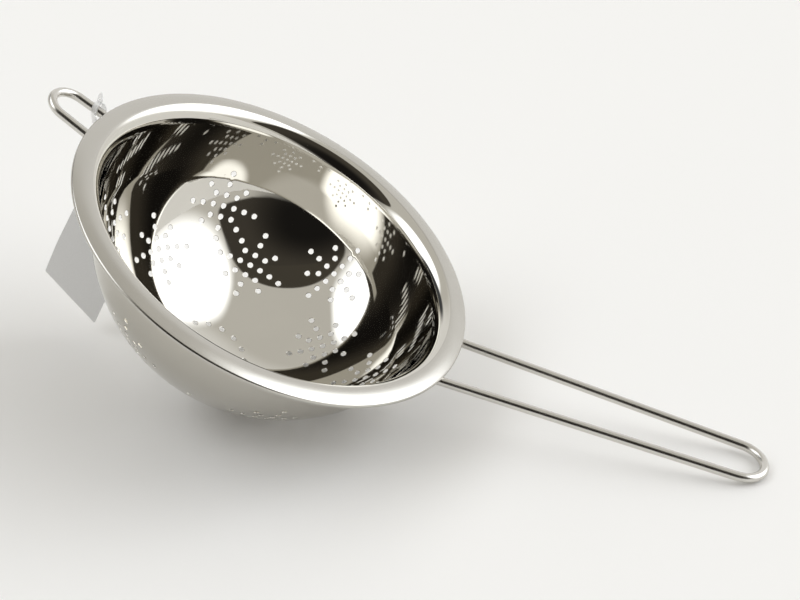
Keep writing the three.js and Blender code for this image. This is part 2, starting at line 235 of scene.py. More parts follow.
def to_table(points):
    """Points of the bowl's frame on the table: tilted about y, then moved to the rim's centre."""
    return points @ TILT_MATRIX.T + RIM_CENTRE


def turned(vectors):
    """Directions of the bowl's frame, tilted about y."""
    return vectors @ TILT_MATRIX.T


def unit(vectors):
    """Vectors divided by their lengths."""
    return vectors / np.linalg.norm(vectors, axis=-1, keepdims=True)


def lengths_along(line):
    """Length along a line of points from its first point to each of them."""
    return np.concatenate([[0], np.cumsum(np.linalg.norm(np.diff(line, axis=0), axis=1))])


# Meshes


def mesh_piece(name, points, faces, materials, normals=None, slots=None):
    """A smooth mesh object: an array of points in millimetres on the table and a list of faces."""
    mesh = bpy.data.meshes.new(name)
    mesh.from_pydata((points * MM).tolist(), [], faces)
    mesh.polygons.foreach_set("use_smooth", np.ones(len(mesh.polygons), bool))
    for material in materials:
        mesh.materials.append(material)
    if slots is not None:
        mesh.polygons.foreach_set("material_index", np.asarray(slots, np.int32))
    if normals is not None:
        mesh.normals_split_custom_set_from_vertices(normals.tolist())
    mesh.update()
    piece = bpy.data.objects.new(name, mesh)
    bpy.context.scene.collection.objects.link(piece)
    return piece


def point_attribute(piece, name, values):
    """A number for each vertex, which a material can read by name."""
    attribute = piece.data.attributes.new(name, "FLOAT", "POINT")
    attribute.data.foreach_set("value", np.asarray(values, np.float32))


def grid_faces(rows, columns, wrap_rows=False, wrap_columns=False):
    """Quads of a grid numbered row by row, which may close on itself either way."""
    i = np.arange(rows if wrap_rows else rows - 1)[:, None]
    j = np.arange(columns if wrap_columns else columns - 1)[None, :]
    i2 = (i + 1) % rows
    j2 = (j + 1) % columns
    corners = [i * columns + j, i * columns + j2, i2 * columns + j2, i2 * columns + j]
    return np.stack([np.broadcast_to(c, (i.shape[0], j.shape[1])) for c in corners], -1).reshape(-1, 4)


# Bowl's wall


def eased(values, span, step):
    """A running mean of evenly spaced values over a span, with the end values carried on."""
    half = max(1, int(span / step / 2))
    padded = np.pad(values, half, mode="edge")
    return np.convolve(padded, np.full(2 * half + 1, 1 / (2 * half + 1)), mode="valid")


def summed(slope, step):
    """Radius and height of a line from its slopes at even steps along it, from the middle of the base."""
    run = np.stack([np.cos(slope), np.sin(slope)], -1) * step
    return np.concatenate([np.zeros((1, 2)), np.cumsum(run, axis=0)])


def wall_curve(step):
    """Inner wall and mouth's round as arc length from the base's middle, radius, height and slope.

    A flat base, then a superellipse, radius = DOME_RADIUS cos(a)^(2/ROUND_POWER) and depth = DOME_TOP +
    (BOWL_DEPTH - DOME_TOP) sin(a)^(2/WALL_POWER), then a shoulder turned by a smooth step and a wall that
    steepens evenly, then two arcs of a circle that turn it level. The last value is the arc where these
    rounds begin.
    """
    base_angle = math.acos((BASE_FLAT_RADIUS / DOME_RADIUS) ** (ROUND_POWER / 2))
    angle = np.linspace(base_angle, DOME_END_ANGLE, DOME_SAMPLES)
    radius = DOME_RADIUS * np.cos(angle) ** (2 / ROUND_POWER)
    height = -DOME_TOP - (BOWL_DEPTH - DOME_TOP) * np.sin(angle) ** (2 / WALL_POWER)
    base_height = height[0]
    run = lengths_along(np.stack([radius, height], -1)) + BASE_FLAT_RADIUS
    dome_slope = np.arctan2(np.gradient(height, run), np.gradient(radius, run))
    arc = np.arange(0, SHOULDER_ARC + WALL_PAST_SHOULDER, step)
    past = (arc - SHOULDER_ARC).clip(0)
    knuckle = (past / SHOULDER_SPAN).clip(0, 1)
    steeper = np.radians(SHOULDER_RATE * past + SHOULDER_TURN_DEG * knuckle**2 * (3 - 2 * knuckle))
    slope = np.interp(np.minimum(arc, SHOULDER_ARC), run, dome_slope, left=0) + steeper
    near_base = arc < BASE_FLAT_RADIUS + 2 * BASE_EASE
    slope = np.where(near_base, eased(slope, BASE_EASE, step), slope)
    turn = math.radians(MOUTH_BREAK_DEG)
    line = summed(slope, step)[:-1] + [0, base_height]
    rise = MOUTH_LOW_ROUND * (math.cos(turn) - np.cos(slope)) + MOUTH_TOP_ROUND * (1 - math.cos(turn))
    last = np.argmax((line[:, 1] + rise > 0) & (arc > SHOULDER_ARC))
    low_round = np.arange(slope[last], turn, -step / MOUTH_LOW_ROUND)
    top_round = np.arange(turn, 0, -step / MOUTH_TOP_ROUND)
    slope = np.concatenate([slope[:last], low_round, top_round, [0]])
    line = summed(slope, step)[:-1] + [0, base_height]
    return np.arange(len(slope)) * step, line[:, 0], line[:, 1] - line[-1, 1], slope, last * step


WALL_ARC, WALL_RADIUS, WALL_HEIGHT, WALL_SLOPE, MOUTH_ARC = wall_curve(WALL_STEP)


def wall_section(arc):
    """Radius, height and outward normal of the inner wall's section at distances along it."""
    radius = np.interp(arc, WALL_ARC, WALL_RADIUS)
    height = np.interp(arc, WALL_ARC, WALL_HEIGHT)
    slope = np.interp(arc, WALL_ARC, WALL_SLOPE)
    return radius, height, np.sin(slope), -np.cos(slope)


def wall_surface(arc, azimuth, depth=0.0):
    """Points and outward normals of the wall: its section at an arc, turned to an azimuth.

    The points are moved outwards by a depth.
    """
    radius, height, out_r, out_z = wall_section(arc)
    normal = np.stack([out_r * np.cos(azimuth), out_r * np.sin(azimuth), out_z], -1)
    point = np.stack([radius * np.cos(azimuth), radius * np.sin(azimuth), height], -1)
    return point + normal * np.asarray(depth)[..., None], normal


def hole_centres():
    """Arc and azimuth of every drain hole: stars of crossed arms and diagonals, and the base ring.

    A step up a star adds to the arc, and a step across it turns the azimuth by step / radius.
    """
    arms = np.arange(1, STAR_ARM_HOLES + 1) * STAR_PITCH
    steps = np.concatenate([arms, -arms])
    zero = np.zeros_like(steps)
    d = np.repeat(STAR_DIAGONALS, 4)
    across = np.concatenate([[0], steps, zero, d * np.tile([1, 1, -1, -1], 2)])
    up = np.concatenate([[0], zero, steps, d * np.tile([1, -1, 1, -1], 2)])
    arcs = []
    azimuths = []
    for row_arc, row_azimuths in STAR_ROWS:
        arc = row_arc + up
        for azimuth in row_azimuths:
            arcs.append(arc)
            azimuths.append(math.radians(azimuth) + across / wall_section(arc)[0])
    arcs.append(np.full(BASE_RING_HOLES, BASE_RING_ARC))
    azimuths.append(np.arange(BASE_RING_HOLES) * TAU / BASE_RING_HOLES)
    return np.concatenate(arcs), np.concatenate(azimuths)


def hole_rings(radius):
    """Arc and azimuth of circles of one radius round every hole, one row a hole."""
    arc, azimuth = hole_centres()
    turn = np.arange(HOLE_SEGMENTS) * TAU / HOLE_SEGMENTS
    ring_arc = arc[:, None] + radius * np.sin(turn)
    ring_azimuth = azimuth[:, None] + radius * np.cos(turn) / wall_section(ring_arc)[0]
    return ring_arc, ring_azimuth


def plain_wall_points():
    """Arc and azimuth of evenly spaced points in rings over the wall, clear of the holes."""
    arcs = []
    azimuths = []
    rings = int(round(MOUTH_ARC / WALL_SPACING))
    for ring in range(1, rings):
        arc = MOUTH_ARC * ring / rings
        girth = TAU * wall_section(np.array(arc))[0]
        count = max(RING_LEAST_POINTS, int(round(girth / WALL_SPACING)))
        arcs.append(np.full(count, arc))
        azimuths.append((np.arange(count) + 0.5 * (ring % 2)) * TAU / count)
    arc = np.concatenate([[0.0], *arcs])
    azimuth = np.concatenate([[0.0], *azimuths])
    place = wall_surface(arc, azimuth)[0]
    centre = wall_surface(*hole_centres())[0]
    nearest = np.linalg.norm(place[:, None] - centre[None], axis=-1).min(1)
    keep = nearest > HOLE_RADIUS + LIP_WIDTH + HOLE_MARGIN
    return arc[keep], azimuth[keep]


def around(centre, radius, degrees):
    """Points of a circle at angles in degrees."""
    turn = np.radians(degrees)
    return centre + radius * np.stack([np.cos(turn), np.sin(turn)], -1)


def flange_section():
    """Section of the rim as radius and height, from the top of the inner wall to that of the outer wall.

    The mouth's round leads to a flange that falls by a parabola, height = -k x^2 / 2, to the bead, a circle
    curled under until it meets the sheet again. The underside follows one sheet lower. The rows where the
    satin begins and ends come with it.
    """
    arc = np.linspace(MOUTH_ARC, WALL_ARC[-1], MOUTH_ROWS)[1:]
    radius, height, out_r, out_z = wall_section(arc)
    mouth = np.stack([radius, height], -1)
    outer_mouth = mouth + np.stack([out_r, out_z], -1) * SHEET
    start = mouth[-1]
    x = np.linspace(0, 1, FLANGE_ROWS)[1:] * (FLANGE_EDGE - start[0])
    bend = math.tan(math.radians(FLANGE_FALL_DEG)) / (FLANGE_EDGE - start[0])
    flange = np.stack([start[0] + x, start[1] - bend * x * x / 2], -1)
    square = unit(np.stack([bend * x, np.ones_like(x)], -1))
    bead_centre = flange[-1] - square[-1] * BEAD_RADIUS
    begin = 90 - FLANGE_FALL_DEG
    meet = begin - 360 + math.degrees(math.acos((BEAD_RADIUS - SHEET) / BEAD_RADIUS))
    bead = around(bead_centre, BEAD_RADIUS, np.linspace(begin, meet, BEAD_ROWS)[1:])
    under = (flange - square * SHEET)[:-UNDER_SHORT_ROWS]
    section = np.concatenate([mouth, flange, bead, under[::-1], outer_mouth[::-1]])
    satin_from = np.searchsorted(-wall_section(arc)[2], -math.sin(math.radians(SATIN_FROM_DEG)))
    return section, satin_from, len(mouth) + len(flange) + int(len(bead) * BEAD_SATIN_SHARE)


def section_normals(section):
    """Normals of a section line, to its left, from the mean of its neighbouring runs."""
    run = unit(np.diff(section, axis=0))
    mean = unit(np.concatenate([run[:1], run[:-1] + run[1:], run[-1:]]))
    return np.stack([-mean[:, 1], mean[:, 0]], -1)


def wall_layout():
    """Arc and azimuth of the wall's points: holes' rims, holes' lips, the mouth's edge, the plain wall."""
    rim_arc, rim_azimuth = hole_rings(HOLE_RADIUS)
    lip_arc, lip_azimuth = hole_rings(HOLE_RADIUS + LIP_WIDTH)
    edge_arc = np.full(RIM_SEGMENTS, MOUTH_ARC)
    plain_arc, plain_azimuth = plain_wall_points()
    arc = np.concatenate([rim_arc.ravel(), lip_arc.ravel(), edge_arc, plain_arc])
    azimuth = np.concatenate([rim_azimuth.ravel(), lip_azimuth.ravel(), RIM_TURN, plain_azimuth])
    return arc, azimuth


def loop_edges(rows):
    """Pairs of neighbours along rows of point numbers that each close on themselves."""
    return np.stack([rows, np.roll(rows, -1, -1)], -1).reshape(-1, 2)


def wall_triangles(arc, azimuth, rims, edge):
    """Triangles between the wall's points, laid flat as a disc at (arc cos azimuth, arc sin azimuth).

    The holes are left open, and all triangles go the same way round.
    """
    flat = np.stack([arc * np.cos(azimuth), arc * np.sin(azimuth)], -1)
    edges = np.concatenate([loop_edges(rims), loop_edges(rims + rims.size), loop_edges(edge)])
    result = geometry.delaunay_2d_cdt(flat.tolist(), edges.tolist(), [], 0, SAME_POINT)
    triangles = np.array(result[2], np.int64)
    number = np.arange(len(arc))
    owner = np.where(number < rims.size, number // HOLE_SEGMENTS, -1 - number)[triangles]
    in_hole = (owner[:, 0] == owner[:, 1]) & (owner[:, 1] == owner[:, 2])
    triangles = triangles[~in_hole]
    a, b, c = (flat[triangles[:, k]] for k in range(3))
    area = (b[:, 0] - a[:, 0]) * (c[:, 1] - a[:, 1]) - (b[:, 1] - a[:, 1]) * (c[:, 0] - a[:, 0])
    triangles[area < 0] = triangles[area < 0][:, ::-1]
    return triangles


def round_axis(rows):
    """Rows of radius and height carried round the bowl's axis: (radius cos t, radius sin t, height)."""
    out = rows[:, 0, None]
    up = np.broadcast_to(rows[:, 1, None], (len(rows), RIM_SEGMENTS))
    return np.stack([out * np.cos(RIM_TURN), out * np.sin(RIM_TURN), up], -1).reshape(-1, 3)


def build_bowl(polished, satin, outside):
    """Perforated bowl: both faces of the wall share one set of triangles, and the rim joins them.

    Each hole has a rounded lip ring and a rim ring, joined through the sheet. The rim is a grid of its
    section carried round the axis.
    """
    arc, azimuth = wall_layout()
    count = len(arc)
    centres = wall_surface(*hole_centres())[0]
    rims = np.arange(len(centres) * HOLE_SEGMENTS).reshape(-1, HOLE_SEGMENTS)
    edge = 2 * rims.size + np.arange(RIM_SEGMENTS)
    triangles = wall_triangles(arc, azimuth, rims, edge)
    sink = np.where(np.arange(count) < rims.size, LIP_SINK, 0.0)
    inner, outwards = wall_surface(arc, azimuth, sink)
    outer = wall_surface(arc, azimuth, SHEET - sink)[0]
    into_hole = np.zeros_like(inner)
    into_hole[: rims.size] = unit(np.repeat(centres, HOLE_SEGMENTS, 0) - inner[: rims.size])
    section, satin_from, satin_to = flange_section()
    rim_points = round_axis(section)
    rim_normals = round_axis(section_normals(section))
    points = np.concatenate([inner, outer, rim_points])
    normals = np.concatenate([unit(into_hole - outwards), unit(into_hole + outwards), rim_normals])

    rows = len(section) + 2
    grid_ids = np.concatenate([edge, 2 * count + np.arange(len(rim_points)), count + edge])
    rim_faces = grid_ids[grid_faces(rows, RIM_SEGMENTS, wrap_columns=True)[:, ::-1]]
    beside = np.roll(rims, -1, 1)
    hole_wall = np.stack([rims, rims + count, beside + count, beside], -1).reshape(-1, 4)
    faces = [*triangles.tolist(), *(triangles[:, ::-1] + count).tolist()]
    faces += [*hole_wall.tolist(), *rim_faces.tolist()]

    wall_slots = [POLISHED_SLOT, OUTSIDE_SLOT, POLISHED_SLOT]
    wall_slots = np.repeat(wall_slots, [len(triangles), len(triangles), len(hole_wall)])
    rim_row = np.repeat(np.arange(rows - 1), RIM_SEGMENTS)
    rim_slots = np.where(rim_row >= satin_from, SATIN_SLOT, POLISHED_SLOT)
    rim_slots = np.where(rim_row > satin_to, OUTSIDE_SLOT, rim_slots)
    slots = np.concatenate([wall_slots, rim_slots])
    finishes = [polished, satin, outside]
    piece = mesh_piece("strainer_bowl", to_table(points), faces, finishes, turned(normals), slots)
    rim_lengths = np.repeat(MOUTH_ARC + lengths_along(section), RIM_SEGMENTS)
    point_attribute(piece, "arc", np.concatenate([arc, arc, rim_lengths]) * MM)
    return piece


# Wires


def wire_route(side, reach, rise, root, tip):
    """Corners of a wire loop with their bend radii, as bent for the solid model.

    Legs leave the wall just under the hem at the rise, and turn down along the wall for the weld.
    """
    climb = math.radians(rise)
    along = np.array([math.cos(climb), math.sin(climb)])
    hem_x = math.sqrt(HEM_CENTRE[0] ** 2 - (root / 2) ** 2)
    clear = HEM_CENTRE[1] - HEM_RADIUS - WIRE_SEAT / along[0]
    edge = np.array([RIM_RADIUS, clear + (RIM_RADIUS - hem_x) * math.tan(climb)])
    end = edge + along * reach
    stand_off = WALL_SHEET + WIRE_SEAT

    def on_wall(height):
        """Radius and height of a wire's middle where it lies along the wall's outside."""
        arc = np.interp(height, WALL_HEIGHT, WALL_ARC)
        radius, z, out_r, out_z = wall_section(np.array(arc))
        return np.array([radius + out_r * stand_off, z + out_z * stand_off])

    foot = on_wall(edge[1] - (RIM_RADIUS - WIRE_CORNER) * math.tan(climb))
    low = on_wall(foot[1] - WELD_LENGTH)
    azimuth = math.asin(root / 2 / foot[0])

    def on_leg(flat, hand):
        """A radius and height as a point of the leg on one hand."""
        return np.array([side * flat[0] * math.cos(azimuth), hand * flat[0] * math.sin(azimuth), flat[1]])

    corners = [
        on_leg(low, -1),
        on_leg(foot, -1),
        np.array([side * end[0], -tip / 2, end[1]]),
        np.array([side * end[0], tip / 2, end[1]]),
        on_leg(foot, 1),
        on_leg(low, 1),
    ]
    leg = unit(corners[2] - corners[1])
    tip_round = tip / 2 / math.tan(math.acos(leg[1]) / 2)
    return corners, [WIRE_BEND_RADIUS, tip_round, tip_round, WIRE_BEND_RADIUS]


def bent_line(corners, radii, step):
    """A line through corners, each rounded by an arc: start + r sin(t) along + r (1 - cos t) across.

    Straight runs have even stations, none of them within a step of a bend's own.
    """
    pieces = [np.array([corners[0]])]
    for before, corner, after, radius in zip(corners, corners[1:], corners[2:], radii):
        along = unit(corner - before)
        leave = unit(after - corner)
        turn = math.acos(np.clip(along @ leave, -1, 1))
        start = corner - along * radius * math.tan(turn / 2)
        across = unit(leave - along * (leave @ along))
        t = np.linspace(0, turn, max(BEND_LEAST_STEPS, int(radius * turn / step)))[:, None]
        pieces.append(start + radius * np.sin(t) * along + radius * (1 - np.cos(t)) * across)
    pieces.append(np.array([corners[-1]]))
    rough = np.concatenate(pieces)
    run = lengths_along(rough)
    keep = np.concatenate([[True], np.diff(run) > SAME_POINT])
    rough, run = rough[keep], run[keep]
    even = np.arange(0, run[-1], STRAIGHT_STEP)
    even = even[np.abs(even[:, None] - run).min(1) > step]
    stations = np.unique(np.concatenate([run, even]))
    return np.stack([np.interp(stations, run, rough[:, k]) for k in range(3)], -1)


def carried_frames(path):
    """Two cross directions at each station of a path, carried along it without twist.

    The first is the one at the station before, less its part along the path. The second is square to it.
    """
    tangent = unit(np.gradient(path, axis=0))
    side = np.zeros_like(path)
    seed = np.eye(3)[np.abs(tangent[0]).argmin()]
    side[0] = unit(np.cross(tangent[0], seed))
    for k in range(1, len(path)):
        carried = side[k - 1] - tangent[k] * (side[k - 1] @ tangent[k])
        side[k] = unit(carried)
    return side, np.cross(tangent, side)


def build_wire(name, route, material):
    """Round wire: a circle carried along the bent line, its two cut ends rounded and closed."""
    path = bent_line(*route, WIRE_STEP)
    run = lengths_along(path)
    t = np.linspace(0, math.pi / 2, WIRE_END_STEPS)
    lead = WIRE_END_ROUND * (1 - np.cos(t))
    between = run[(run > lead[-1]) & (run < run[-1] - lead[-1])]
    stations = np.unique(np.concatenate([lead, between, run[-1] - lead]))
    path = np.stack([np.interp(stations, run, path[:, k]) for k in range(3)], -1)
    from_end = np.minimum(stations, run[-1] - stations).clip(0, WIRE_END_ROUND)
    still_square = WIRE_END_ROUND - from_end
    inset = WIRE_END_ROUND - np.sqrt((WIRE_END_ROUND**2 - still_square**2).clip(0))
    radius = WIRE_RADIUS - inset
    side, other = carried_frames(path)
    turn = np.arange(WIRE_SIDES) * TAU / WIRE_SIDES
    spoke = side[:, None] * np.cos(turn)[:, None] + other[:, None] * np.sin(turn)[:, None]
    points = path[:, None] + spoke * radius[:, None, None]
    faces = grid_faces(len(path), WIRE_SIDES, wrap_columns=True)
    last = (len(path) - 1) * WIRE_SIDES
    caps = [list(range(WIRE_SIDES))[::-1], list(range(last, last + WIRE_SIDES))]
    piece = mesh_piece(name, to_table(points.reshape(-1, 3)), faces.tolist() + caps, [material])
    point_attribute(piece, "run", np.repeat(stations, WIRE_SIDES) * MM)
    return piece


def build_welds(routes, material):
    """Weld nuggets between wire feet and wall: ellipsoids in latitude and longitude with lumps.

    x = a sin(lat) along the foot, y = b cos(lat) cos(lon) across it and z = c cos(lat) sin(lon) inwards,
    all times a lump, which is 1 plus sine waves of both angles.
    """
    rows, columns = NUGGET_GRID
    lat = np.linspace(-math.pi / 2, math.pi / 2, rows)[:, None]
    lon = (np.arange(columns) * TAU / columns)[None, :]
    lump = np.ones((rows, columns))
    for height, waves_round, waves_along in NUGGET_LUMPS:
        lump = lump + height * np.sin(waves_round * lon + waves_along * lat)
    x = NUGGET_HALF[0] * np.sin(lat) * lump
    y = NUGGET_HALF[1] * np.cos(lat) * np.cos(lon) * lump
    z = NUGGET_HALF[2] * np.cos(lat) * np.sin(lon) * lump
    points = []
    faces = []
    for corners, _ in routes:
        for low, foot in ((corners[0], corners[1]), (corners[-1], corners[-2])):
            along = unit(foot - low)
            place = low + (foot - low) * NUGGET_PLACE
            inward = unit(np.array([-place[0], -place[1], 0.0]))
            inward = unit(inward - along * (inward @ along))
            across = np.cross(along, inward)
            middle = place + inward * (WIRE_RADIUS - NUGGET_SINK)
            shape = x[..., None] * along + y[..., None] * across + z[..., None] * inward + middle
            faces.append(grid_faces(rows, columns, wrap_columns=True) + sum(len(p) for p in points))
            points.append(shape.reshape(-1, 3))
    every = to_table(np.concatenate(points))
    return mesh_piece("weld_nuggets", every, np.concatenate(faces).tolist(), [material])


# Tag

tag_turn = math.radians(TAG_AZIMUTH_DEG)
TAG_ACROSS = np.array([math.cos(tag_turn), math.sin(tag_turn), 0.0])
TAG_NORMAL = np.array([-math.sin(tag_turn), math.cos(tag_turn), 0.0])


def build_card(material):
    """Card: a grid from the punched hole's circle out to the round-cornered edge.

    It is bowed along its length by a parabola, which fades in the upper half.
    """
    lean = math.radians(CARD_LEAN_DEG)
    up = TAG_ACROSS * math.sin(lean) + np.array([0, 0, math.cos(lean)])
    right = TAG_ACROSS * math.cos(lean) - np.array([0, 0, math.sin(lean)])
    half = CARD_WIDTH / 2
    top = CARD_HOLE_INSET
    bottom = top - CARD_LENGTH
    quarter = np.linspace(0, math.pi / 2, CARD_CORNER_STEPS)
    arcs = []
    for k, (x, y) in enumerate(((half, top), (-half, top), (-half, bottom), (half, bottom))):
        turn = quarter + k * math.pi / 2
        centre = np.array([x - math.copysign(CARD_CORNER, x), y - math.copysign(CARD_CORNER, y)])
        arcs.append(centre + CARD_CORNER * np.stack([np.cos(turn), np.sin(turn)], -1))
    outline = np.concatenate(arcs)
    closed = np.concatenate([outline, outline[:1]])
    run = lengths_along(closed)
    stations = np.unique(np.concatenate([run[:-1], np.arange(0, run[-1], CARD_EDGE_STEP)]))
    outline = np.stack([np.interp(stations, run, closed[:, k]) for k in range(2)], -1)
    angle = np.arctan2(outline[:, 1], outline[:, 0])
    hole = CARD_HOLE_RADIUS * np.stack([np.cos(angle), np.sin(angle)], -1)
    share = np.linspace(0, 1, CARD_ROWS)[:, None, None]
    flat = hole * (1 - share) + outline * share
    reach = (flat[..., 1] - (top + bottom) / 2) / (CARD_LENGTH / 2)
    bow = CARD_BOW * (reach.clip(-1, 1) ** 2 - 1) * np.where(reach > 0, (1 - reach).clip(0, 1), 1)
    sheet = CARD_HOLE_POINT + flat[..., :1] * right + flat[..., 1:] * up + bow[..., None] * TAG_NORMAL
    front = sheet - TAG_NORMAL * CARD_THICKNESS / 2
    back = sheet + TAG_NORMAL * CARD_THICKNESS / 2
    rows, columns = flat.shape[:2]
    rows_all = np.concatenate([front, back[::-1]])
    faces = grid_faces(2 * rows, columns, wrap_rows=True, wrap_columns=True)
    piece = mesh_piece("blank_card", rows_all.reshape(-1, 3), faces.tolist(), [material])
    edges = piece.modifiers.new("crease", "EDGE_SPLIT")
    edges.split_angle = math.radians(CARD_CREASE_DEG)
    return piece


def strap_line():
    """Strap's closed middle line in its plane: half an ellipse over the wire, two runs and a foot."""
    length = np.linalg.norm(HANG_POINT - CARD_HOLE_POINT)
    top = np.linspace(0, math.pi, STRAP_STEPS[0])
    run = np.linspace(0, 1, STRAP_STEPS[1])[1:-1]
    drop = length - STRAP_FOOT[1]
    narrow = np.clip(run * drop / STRAP_NECK, 0, 1)
    ease = narrow * narrow * (3 - 2 * narrow)
    half = STRAP_TOP[0] + (STRAP_RUN - STRAP_TOP[0]) * ease
    widen = np.clip(1 - (1 - run) * drop / STRAP_FOOT_EASE, 0, 1)
    half = half + (STRAP_FOOT[0] - STRAP_RUN) * widen * widen * (3 - 2 * widen)
    foot = np.linspace(math.pi, TAU, STRAP_STEPS[2])
    across = np.concatenate([STRAP_TOP[0] * np.cos(top), -half, STRAP_FOOT[0] * np.cos(foot), half[::-1]])
    down = -run * drop
    under = STRAP_FOOT[1] * np.sin(foot) - drop
    along = np.concatenate([STRAP_TOP[1] * np.sin(top), down, under, down[::-1]])
    return across, along


def build_strap(material):
    """Strap: a band's section carried round the closed line, with a pointed tail above the wire.

    The section is a superellipse, powers of sin(t) through the band and of cos(t) across it.
    """
    axis = unit(HANG_POINT - CARD_HOLE_POINT)
    width_way = unit(np.cross(TAG_NORMAL, axis))
    across, along = strap_line()
    line = np.stack([across, along], -1)
    run = unit(np.roll(line, -1, 0) - np.roll(line, 1, 0))
    out = np.stack([run[:, 1], -run[:, 0]], -1)
    half_t, half_w = STRAP_THICKNESS / 2, STRAP_WIDTH / 2
    turn = np.arange(STRAP_SIDES) * TAU / STRAP_SIDES
    section_t = half_t * np.sign(np.sin(turn)) * np.abs(np.sin(turn)) ** STRAP_EDGE_POWERS[0]
    section_w = half_w * np.sign(np.cos(turn)) * np.abs(np.cos(turn)) ** STRAP_EDGE_POWERS[1]
    flat = line[:, None] + out[:, None] * section_t[None, :, None]
    points = (
        HANG_POINT
        + flat[..., :1] * TAG_NORMAL
        + flat[..., 1:] * axis
        + section_w[None, :, None] * width_way
    )
    faces = grid_faces(len(line), STRAP_SIDES, wrap_rows=True, wrap_columns=True)
    tail_rows = np.linspace(0, 1, TAIL_ROWS)[:, None]
    tail_half = half_w * np.clip((1 - tail_rows) / TAIL_TAPER, TAIL_BLUNT, 1) ** TAIL_TAPER_POWER
    tail_n = STRAP_TOP[0] * TAIL_FOOT + TAIL_LEAN * tail_rows**TAIL_LEAN_POWER + section_t[None, :]
    tail_q = np.broadcast_to(STRAP_TOP[1] - TAIL_OVERLAP + TAIL_LENGTH * tail_rows, tail_n.shape)
    tail_w = tail_half * (section_w / half_w)[None, :]
    tail = (
        HANG_POINT
        + tail_n[..., None] * TAG_NORMAL
        + tail_q[..., None] * axis
        + tail_w[..., None] * width_way
    )
    first = len(line) * STRAP_SIDES
    last = first + (TAIL_ROWS - 1) * STRAP_SIDES
    tail_faces = (grid_faces(TAIL_ROWS, STRAP_SIDES, wrap_columns=True) + first).tolist()
    tail_faces.append(list(range(first, first + STRAP_SIDES))[::-1])
    tail_faces.append(list(range(last, last + STRAP_SIDES)))
    every = np.concatenate([points.reshape(-1, 3), tail.reshape(-1, 3)])
    return mesh_piece("tag_strap", every, faces.tolist() + tail_faces, [material])


# Materials

# Colour sockets of a Mix node
MIX_A = 6
MIX_B = 7
MIX_RESULT = 2


def new_material(name):
    """A node material with its node tree and its Principled shader."""
    material = bpy.data.materials.new(name)
    material.use_nodes = True
    return material, material.node_tree, material.node_tree.nodes["Principled BSDF"]


def add(tree, kind, **values):
    """A node of a kind with its properties set."""
    node = tree.nodes.new(kind)
    for key, value in values.items():
        setattr(node, key, value)
    return node


def set_inputs(node, **values):
    """Sets a node's sockets by name, with underscores for blanks."""
    for key, value in values.items():
        node.inputs[key.replace("_", " ")].default_value = value


def math_node(tree, operation, a, b=None):
    """Result of an operation on one or two numbers or sockets."""
    node = add(tree, "ShaderNodeMath", operation=operation)
    for socket, value in zip(node.inputs, (a, b)):
        if isinstance(value, (int, float)):
            socket.default_value = value
        elif value is not None:
            tree.links.new(value, socket)
    return node.outputs[0]


def span(tree, value, low, high):
    """A 0 to 1 value spread between two limits."""
    node = add(tree, "ShaderNodeMapRange")
    tree.links.new(value, node.inputs["Value"])
    set_inputs(node, To_Min=low, To_Max=high)
    return node.outputs["Result"]


def tone_between(tree, share, first, second):
    """A colour a 0 to 1 share of the way from the first to the second, each a tone or a socket."""
    node = add(tree, "ShaderNodeMix", data_type="RGBA")
    tree.links.new(share, node.inputs["Factor"])
    for socket, tone in ((node.inputs[MIX_A], first), (node.inputs[MIX_B], second)):
        if isinstance(tone, tuple):
            socket.default_value = (*tone, 1)
        else:
            tree.links.new(tone, socket)
    return node.outputs[MIX_RESULT]


def noise(tree, place, **values):
    """A 0 to 1 noise of a place."""
    node = add(tree, "ShaderNodeTexNoise")
    set_inputs(node, **values)
    tree.links.new(place, node.inputs["Vector"])
    return node.outputs["Fac"]


def place_on_piece(tree):
    """Place on a piece, in metres."""
    return add(tree, "ShaderNodeTexCoord").outputs["Object"]


def bumped(tree, value, strength, height):
    """Normals of a surface raised by a 0 to 1 value, to a height in millimetres."""
    node = add(tree, "ShaderNodeBump")
    set_inputs(node, Strength=strength, Distance=height * MM)
    tree.links.new(value, node.inputs["Height"])
    return node.outputs["Normal"]


def lines_group():
    """Fine lines along a piece, a noise of length / pitch and a little of the place, and a faint cloud."""
    tree = bpy.data.node_groups.new("fine_lines", "ShaderNodeTree")
    for name in ("Length", "Pitch", "Wander"):
        tree.interface.new_socket(name, in_out="INPUT", socket_type="NodeSocketFloat")
    for name in ("Lines", "Cloud"):
        tree.interface.new_socket(name, in_out="OUTPUT", socket_type="NodeSocketFloat")
    enter = add(tree, "NodeGroupInput")
    leave = add(tree, "NodeGroupOutput")
    place = place_on_piece(tree)
    drift = add(tree, "ShaderNodeVectorMath", operation="SCALE")
    tree.links.new(place, drift.inputs[0])
    tree.links.new(enter.outputs["Wander"], drift.inputs["Scale"])
    join = add(tree, "ShaderNodeCombineXYZ")
    count = math_node(tree, "DIVIDE", enter.outputs["Length"], enter.outputs["Pitch"])
    tree.links.new(count, join.inputs["X"])
    move = add(tree, "ShaderNodeVectorMath", operation="ADD")
    tree.links.new(join.outputs[0], move.inputs[0])
    tree.links.new(drift.outputs[0], move.inputs[1])
    lines = noise(tree, move.outputs[0], Scale=1.0, Detail=3.0, Roughness=0.6)
    cloud = noise(tree, place, Scale=38.0, Detail=4.0, Roughness=0.55)
    tree.links.new(lines, leave.inputs["Lines"])
    tree.links.new(cloud, leave.inputs["Cloud"])
    return tree


FINE_LINES = lines_group()


